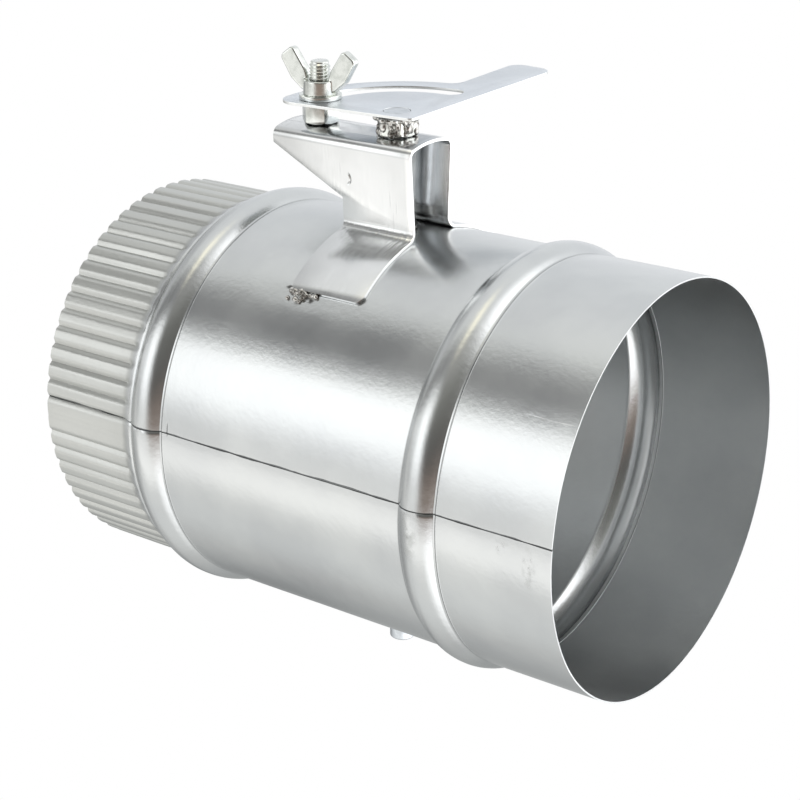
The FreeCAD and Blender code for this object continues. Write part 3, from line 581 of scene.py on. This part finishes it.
def shape_sleeve(obj):
    """Press the seam, the crimps and the slight waviness of rolled sheet into the tube."""
    step = 360 / (CRIMP_COUNT * STEPS_PER_CRIMP)
    for vertex in obj.data.vertices:
        co = vertex.co
        radius = math.hypot(co.y, co.z)
        turn = math.degrees(math.atan2(-co.y, co.z))
        offset = turn - SEAM_TURN
        if abs(offset) < step:
            offset *= 0.18
        elif abs(offset) < 2 * step:
            offset *= 0.3
        turn = SEAM_TURN + offset
        wave = 0.10 * MM * noise.noise(co / (26 * MM)) + 0.03 * MM * noise.noise(co / (9 * MM))
        dent = 0.35 * MM * ease(1 - (co - WELD_SPOT).length / (7 * MM))
        radius -= crimp_push(turn, co.x) + bead_flare(co.x) + seam_push(offset) + wave + dent
        place = math.radians(turn)
        co.y, co.z = -radius * math.sin(place), radius * math.cos(place)


def make_sleeve():
    """The sleeve: its section spun round the duct's axis, then pressed into shape."""
    outside, inside = sheet_face(0), sheet_face(SHEET)
    points = [(x, 0, z) for x, z in outside + inside[::-1]]
    obj = chain("rolled_duct_sleeve", points)
    for vertex in obj.data.vertices:
        vertex.select = vertex.index in (0, len(points) - 1)
    bpy.ops.object.mode_set(mode="EDIT")
    bpy.ops.mesh.select_mode(type="VERT")
    bpy.ops.mesh.edge_face_add()
    bpy.ops.mesh.select_all(action="SELECT")
    bpy.ops.mesh.spin(steps=CRIMP_COUNT * STEPS_PER_CRIMP, angle=2 * math.pi,
                      center=(0, 0, 0), axis=(1, 0, 0))
    bpy.ops.mesh.select_all(action="SELECT")
    bpy.ops.mesh.remove_doubles(threshold=1e-6)
    bpy.ops.mesh.normals_make_consistent(inside=False)
    bpy.ops.object.mode_set(mode="OBJECT")
    shape_sleeve(obj)
    smooth(obj, 50)
    return finish_piece(obj, "sleeve", "galvanised", SHEET_ZINC, "duct_sleeve")


# Bolt: hexagon head and a shank with a real thread.

def make_bolt():
    """The bolt under the bracket's top, with a thread that runs up to a turned-off end."""
    head_top = BOLT_LOW.z + HEAD_HEIGHT
    middle = (BOLT_X, 0, BOLT_LOW.z + HEAD_HEIGHT / 2)
    bpy.ops.mesh.primitive_cylinder_add(vertices=6, radius=HEAD_CORNER_RADIUS, depth=HEAD_HEIGHT,
                                        location=middle, rotation=(0, 0, HEAD_TURN))
    head = applied(settled(bpy.context.active_object), "BEVEL", width=0.35 * MM, segments=2)

    root = BOLT_RADIUS - THREAD_DEPTH
    core_height = BOLT_HIGH.z - head_top
    bpy.ops.mesh.primitive_cylinder_add(vertices=48, radius=root + 0.04 * MM, depth=core_height,
                                        location=(BOLT_X, 0, head_top + core_height / 2))
    core = applied(settled(bpy.context.active_object), "BEVEL", width=0.5 * MM, segments=3,
                   limit_method="ANGLE", angle_limit=math.radians(60))

    turns = int((core_height - 0.5 * MM) / THREAD_PITCH) - 1
    crest = BOLT_RADIUS - 0.03 * MM
    profile = chain("thread", [(root, 0, 0), (crest, 0, 0.45 * THREAD_PITCH),
                               (crest, 0, 0.57 * THREAD_PITCH), (root, 0, THREAD_PITCH)])
    applied(profile, "SCREW", axis="Z", screw_offset=THREAD_PITCH, iterations=turns, steps=40,
            render_steps=40, use_merge_vertices=True, merge_threshold=1e-6)
    profile.location = (BOLT_X, 0, BOLT_HIGH.z - 0.5 * MM - (turns + 1) * THREAD_PITCH)
    obj = joined("threaded_clamp_bolt", [head, core, settled(profile)])
    smooth(obj, 35)
    return finish_piece(obj, "sleeve", "fastener_zinc", PLATING, "clamp_bolt")


# Wing nut: a cast collar with two wings, blended where they meet.

def make_wing_nut():
    """The wing nut, seated on the washer and drilled for the bolt."""
    bpy.ops.object.select_all(action="DESELECT")
    bpy.ops.mesh.primitive_cone_add(vertices=40, radius1=6.5 * MM, radius2=6.2 * MM, depth=COLLAR_RISE,
                                    location=(0, 0, COLLAR_RISE / 2))
    pieces = [settled(bpy.context.active_object)]
    for side in (1, -1):
        corners = [(3.6, 1.4), (7.0, 1.0), (11.8, 5.2), (16.0, 12.4), (15.5, 13.9), (11.8, 16.7),
                   (10.4, 16.4), (5.4, 8.8), (4.4, 5.6)]
        wing = chain("wing", [(side * x * MM, 0, z * MM) for x, z in corners], closed=True)
        applied(wing, "SOLIDIFY", thickness=WING_THICKNESS, offset=0)
        applied(wing, "BEVEL", width=0.6 * MM, segments=3, limit_method="ANGLE", angle_limit=math.radians(30))
        pieces.append(wing)
    obj = joined("cast_wing_nut", pieces)
    applied(obj, "REMESH", mode="VOXEL", voxel_size=0.26 * MM)
    applied(obj, "SMOOTH", iterations=5, factor=0.5)
    bpy.ops.mesh.primitive_cylinder_add(vertices=64, radius=BOLT_RADIUS + 0.02 * MM, depth=40 * MM)
    drill = bpy.context.active_object
    applied(obj, "BOOLEAN", object=drill, operation="DIFFERENCE", solver="EXACT")
    bpy.data.objects.remove(drill)
    obj.location = (BOLT_X, 0, WING_BASE)
    obj.rotation_euler = (0, 0, WING_TURN)
    settled(obj)
    smooth(obj, 40)
    return finish_piece(obj, "wing", "fastener_zinc", PLATING, "wing_nut")


# Welds: drops of metal run together.

def weld_of_drops(name, drops, voxel=0.24 * MM):
    """Overlapping drops (centre, radius, squash) melted into one lump."""
    pieces = []
    for centre, radius, squash in drops:
        bpy.ops.mesh.primitive_uv_sphere_add(segments=14, ring_count=8, radius=radius, location=centre)
        drop = bpy.context.active_object
        drop.scale = (1, 1, squash)
        pieces.append(drop)
    obj = joined(name, pieces)
    applied(obj, "REMESH", mode="VOXEL", voxel_size=voxel)
    applied(obj, "SMOOTH", iterations=2, factor=0.5)
    for vertex in obj.data.vertices:
        vertex.co += vertex.normal * 0.08 * MM * noise.noise(vertex.co / (1.2 * MM))
    return smooth(obj, 60)


def make_pivot_weld():
    """Weld between the shaft nut and the lever, with drops that ran down the nut."""
    chance = random.Random(7)
    top = LEVER_UNDER - 0.1 * MM
    drops = []
    for index in range(18):
        turn = 2 * math.pi * index / 18
        reach = chance.uniform(*WELD_RING_REACH) * MM
        radius = chance.uniform(1.3, 1.8) * MM
        drops.append(((SHAFT_X + reach * math.cos(turn), reach * math.sin(turn), top - radius * 0.8),
                      radius, 0.8))
    for index in range(42):
        turn = 2 * math.pi * (index + chance.uniform(-0.3, 0.3)) / 14
        reach = chance.uniform(*WELD_RUN_REACH) * MM
        depth = (WELD_LAYER + WELD_LAYER * (index // 14) + chance.uniform(-0.5, 0.5)) * MM
        radius = chance.uniform(0.9, 1.8) * MM
        drops.append(((SHAFT_X + reach * math.cos(turn), reach * math.sin(turn), top - depth),
                      radius, chance.uniform(0.9, 1.5)))
    obj = weld_of_drops("pivot_weld_drops", drops)
    return finish_piece(obj, "damper", "weld_steel", WELD_METAL, "pivot_weld")


def make_tack_weld(node_name, name, side, seed):
    """The tack at a foot's lower corner: a short run of metal and a few splashes."""
    chance = random.Random(seed)
    low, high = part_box(node_name)
    drops = []
    for index in range(9):
        x = low.x + 1.6 * MM + (high.x - low.x - 3.2 * MM) * index / 8
        turn = math.radians(FOOT_TURN + chance.uniform(-0.2, 0.5))
        radius = chance.uniform(1.0, 1.5) * MM * (1.15 if index < 5 else 0.75)
        reach = OUTER + radius * 0.15
        drops.append(((x, side * reach * math.sin(turn), reach * math.cos(turn)), radius, 0.9))
    for _ in range(6):
        x = low.x + chance.uniform(0.5, 9.0) * MM
        turn = math.radians(chance.uniform(37.0, 39.6))
        radius = chance.uniform(0.6, 1.2) * MM
        reach = OUTER + radius * 0.1
        drops.append(((x, side * reach * math.sin(turn), reach * math.cos(turn)), radius, 0.9))
    obj = weld_of_drops(name, drops, 0.2 * MM)
    return finish_piece(obj, "sleeve", "weld_steel", WELD_METAL, node_name)


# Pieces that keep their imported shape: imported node, new name, body, slot, finish, edge radius.
KEPT = [
    ("standoff_bracket", "folded_bracket", "sleeve", "bracket_zinc", STRIP_ZINC, 0.16 * MM),
    ("upper_bush", "upper_wall_bush", "sleeve", "bush_steel", BUSH_STEEL, 0.2 * MM),
    ("lower_bush", "lower_wall_bush", "sleeve", "bush_steel", BUSH_STEEL, 0.2 * MM),
    ("lock_nut", "hex_lock_nut", "sleeve", "fastener_zinc", PLATING, 0.25 * MM),
    ("damper_shaft", "round_damper_shaft", "damper", "shaft_steel", BAR_STEEL, 0.2 * MM),
    ("damper_blade", "round_damper_blade", "damper", "galvanised", SHEET_ZINC, 0.12 * MM),
    ("upper_strap", "upper_shaft_strap", "damper", "galvanised", STRIP_ZINC, 0.12 * MM),
    ("lower_strap", "lower_shaft_strap", "damper", "galvanised", STRIP_ZINC, 0.12 * MM),
    ("quadrant_lever", "slotted_lever_plate", "damper", "lever_zinc", LEVER_ZINC, 0.18 * MM),
    ("shaft_nut", "hex_shaft_nut", "damper", "fastener_zinc", PLATING, 0.25 * MM),
    ("clamp_washer", "plain_clamp_washer", "sleeve", "fastener_zinc", PLATING, 0.15 * MM),
] + [(f"strap_rivet_{number}", f"domed_rivet_{number}", "damper", "fastener_zinc", PLATING, 0.1 * MM)
     for number in range(1, 5)]


def make_kept_pieces():
    """Every piece of KEPT, with its rounded edges, its finish and its body."""
    for packed, name, body, slot, material, edge in KEPT:
        finish_piece(rounded_copy(packed, name, edge), body, slot, material, packed)


# Camera, room and floor

CAMERA_AZIMUTH = math.radians(36.949)
CAMERA_ELEVATION = math.radians(21.701)
CAMERA_ROLL = math.radians(-0.6205)
CAMERA_PLACE = (0.304068, -0.560645, 0.286837)
CAMERA_LENS = 88.83


def make_camera():
    """The camera of the photo: its place, its turn and its lens."""
    data = bpy.data.cameras.new("camera")
    camera = bpy.data.objects.new("camera", data)
    bpy.context.scene.collection.objects.link(camera)
    turn = Matrix.Rotation(CAMERA_AZIMUTH, 4, "Z")
    tilt = Matrix.Rotation(math.pi / 2 - CAMERA_ELEVATION, 4, "X")
    roll = Matrix.Rotation(CAMERA_ROLL, 4, "Z")
    camera.matrix_world = Matrix.Translation(CAMERA_PLACE) @ turn @ tilt @ roll
    data.lens = CAMERA_LENS
    data.sensor_width = 36
    data.clip_start = 0.01
    bpy.context.scene.camera = camera


def near_direction(tree, sight, direction, start, full):
    """1 for sight lines close to a direction: start and full are cosines of the angle between."""
    aim = Vector(direction).normalized()
    cosine = node(tree, "ShaderNodeVectorMath", {"operation": "DOT_PRODUCT", 1: aim},
                  i0=sight).outputs["Value"]
    return node(tree, "ShaderNodeMapRange", {"interpolation_type": "SMOOTHSTEP", "From Min": start,
                                             "From Max": full}, Value=cosine).outputs["Result"]


# The studio round the duct's axis: degrees from straight up towards -Y, and brightness.
ROOM = [
    (-180, (0.56, 0.56, 0.55)), (-165, (0.40, 0.41, 0.41)), (-150, (0.28, 0.29, 0.29)),
    (-138, (0.32, 0.33, 0.33)), (-118, (0.72, 0.73, 0.75)), (-90, (0.86, 0.88, 0.91)),
    (-50, (0.78, 0.80, 0.82)), (-15, (0.80, 0.81, 0.82)), (4, (0.86, 0.87, 0.86)),
    (12, (0.62, 0.63, 0.61)), (20, (0.22, 0.22, 0.22)), (38, (0.14, 0.14, 0.14)),
    (46, (0.55, 0.56, 0.55)), (54, (1.70, 1.71, 1.70)), (80, (1.60, 1.62, 1.62)),
    (88, (1.15, 1.16, 1.16)), (102, (0.80, 0.80, 0.78)), (111, (1.10, 1.09, 1.07)),
    (126, (1.42, 1.41, 1.37)), (135, (0.85, 0.85, 0.83)), (158, (0.80, 0.81, 0.80)),
    (170, (0.70, 0.71, 0.70)), (180, (0.56, 0.56, 0.55)),
]
ROOM_STRENGTH = 2.0


def make_world():
    """A studio lit by wide soft screens, dark behind the camera; white to the camera itself."""
    world = bpy.data.worlds.new("studio")
    bpy.context.scene.world = world
    world.use_nodes = True
    tree = world.node_tree
    tree.nodes.clear()
    sight = node(tree, "ShaderNodeTexCoord").outputs["Generated"]
    axes = node(tree, "ShaderNodeSeparateXYZ", Vector=sight)
    across = maths(tree, "MULTIPLY", axes.outputs["Y"], -1.0)
    turn = maths(tree, "ARCTAN2", across, axes.outputs["Z"])
    stops = [((degrees + 180) / 360, tuple(part / ROOM_STRENGTH for part in shade))
             for degrees, shade in ROOM]
    screens = ramp(tree, spread(tree, turn, -math.pi, math.pi), stops)

    # The screens end before the duct's far end, and a fill light stands in front of its open end.
    far = spread(tree, axes.outputs["X"], -0.66, -0.84, 1.0, 0.58)
    fill = spread(tree, axes.outputs["X"], 0.20, 0.60, 0.0, 1.0)
    scaled = node(tree, "ShaderNodeVectorMath", {"operation": "SCALE"}, Vector=screens, Scale=far)
    screens = blend_colours(tree, fill, scaled.outputs["Vector"], "#ffffff")

    # A faint haze lies on both sides of the darkest sight lines.
    aside = maths(tree, "ABSOLUTE", maths(tree, "ADD", axes.outputs["X"], 0.585), 0.0)
    screens = blend_colours(tree, spread(tree, aside, 0.02, 0.05, 0.0, 0.09), screens, "#f4f5f4")

    behind = near_direction(tree, sight, (0.55, -0.74, 0.38), 0.50, 0.86)
    height = spread(tree, axes.outputs["Z"], -1.0, 1.0)
    dark = ramp(tree, height, [(0.25, (0.20, 0.17, 0.15)), (0.42, (0.16, 0.125, 0.105)),
                               (0.60, (0.065, 0.063, 0.060)), (0.80, (0.10, 0.10, 0.092)),
                               (0.95, (0.2, 0.2, 0.19))])
    room = blend_colours(tree, behind, screens, dark)

    # A small warm lamp hangs overhead and draws the pale gold line on the beads.
    plan = node(tree, "ShaderNodeCombineXYZ", X=axes.outputs["X"], Y=axes.outputs["Y"]).outputs["Vector"]
    lamp = mark(tree, plan, (-0.12, -0.10), (0.42, 0.80), edge=0.9)
    lamp = maths(tree, "MULTIPLY", lamp, maths(tree, "GREATER_THAN", axes.outputs["Z"], 0.5))
    room = blend_colours(tree, lamp, room, "#f2ecd6")

    seen = node(tree, "ShaderNodeBackground", {"Strength": ROOM_STRENGTH}, Color=room)
    paper = node(tree, "ShaderNodeBackground", {"Color": (1, 1, 1, 1), "Strength": 1.0})
    ray = node(tree, "ShaderNodeLightPath")
    mix = node(tree, "ShaderNodeMixShader", i0=ray.outputs["Is Camera Ray"],
               i1=seen.outputs["Background"], i2=paper.outputs["Background"])
    node(tree, "ShaderNodeOutputWorld", Surface=mix.outputs["Shader"])


def make_floor():
    """A plain pale floor just under the shaft's lower end, white to the camera."""
    bpy.ops.object.select_all(action="DESELECT")
    bpy.ops.mesh.primitive_plane_add(size=6, location=(SHAFT_X, 0, SHAFT_LOW.z - 0.2 * MM))
    floor = bpy.context.active_object
    floor.name = floor.data.name = "floor"
    floor.visible_glossy = False
    material, tree, shader, _ = new_material("pale_paper_floor")
    shader.inputs["Base Color"].default_value = colour("#f4f4f4")
    shader.inputs["Roughness"].default_value = 0.9
    white = node(tree, "ShaderNodeEmission", {"Color": (1, 1, 1, 1), "Strength": 1.0})
    ray = node(tree, "ShaderNodeLightPath")
    mix = node(tree, "ShaderNodeMixShader", i0=ray.outputs["Is Camera Ray"],
               i1=shader.outputs["BSDF"], i2=white.outputs["Emission"])
    output = next(item for item in tree.nodes if item.type == "OUTPUT_MATERIAL")
    tree.links.new(mix.outputs["Shader"], output.inputs["Surface"])
    floor.data.materials.append(material)


make_kept_pieces()
make_bolt()
make_wing_nut()
make_pivot_weld()
make_tack_weld("tack_weld_near", "near_tack_weld", -1, 3)
make_tack_weld("tack_weld_far", "far_tack_weld", 1, 5)
make_sleeve()
make_floor()
make_world()
make_camera()
bpy.context.scene.view_settings.view_transform = "Standard"
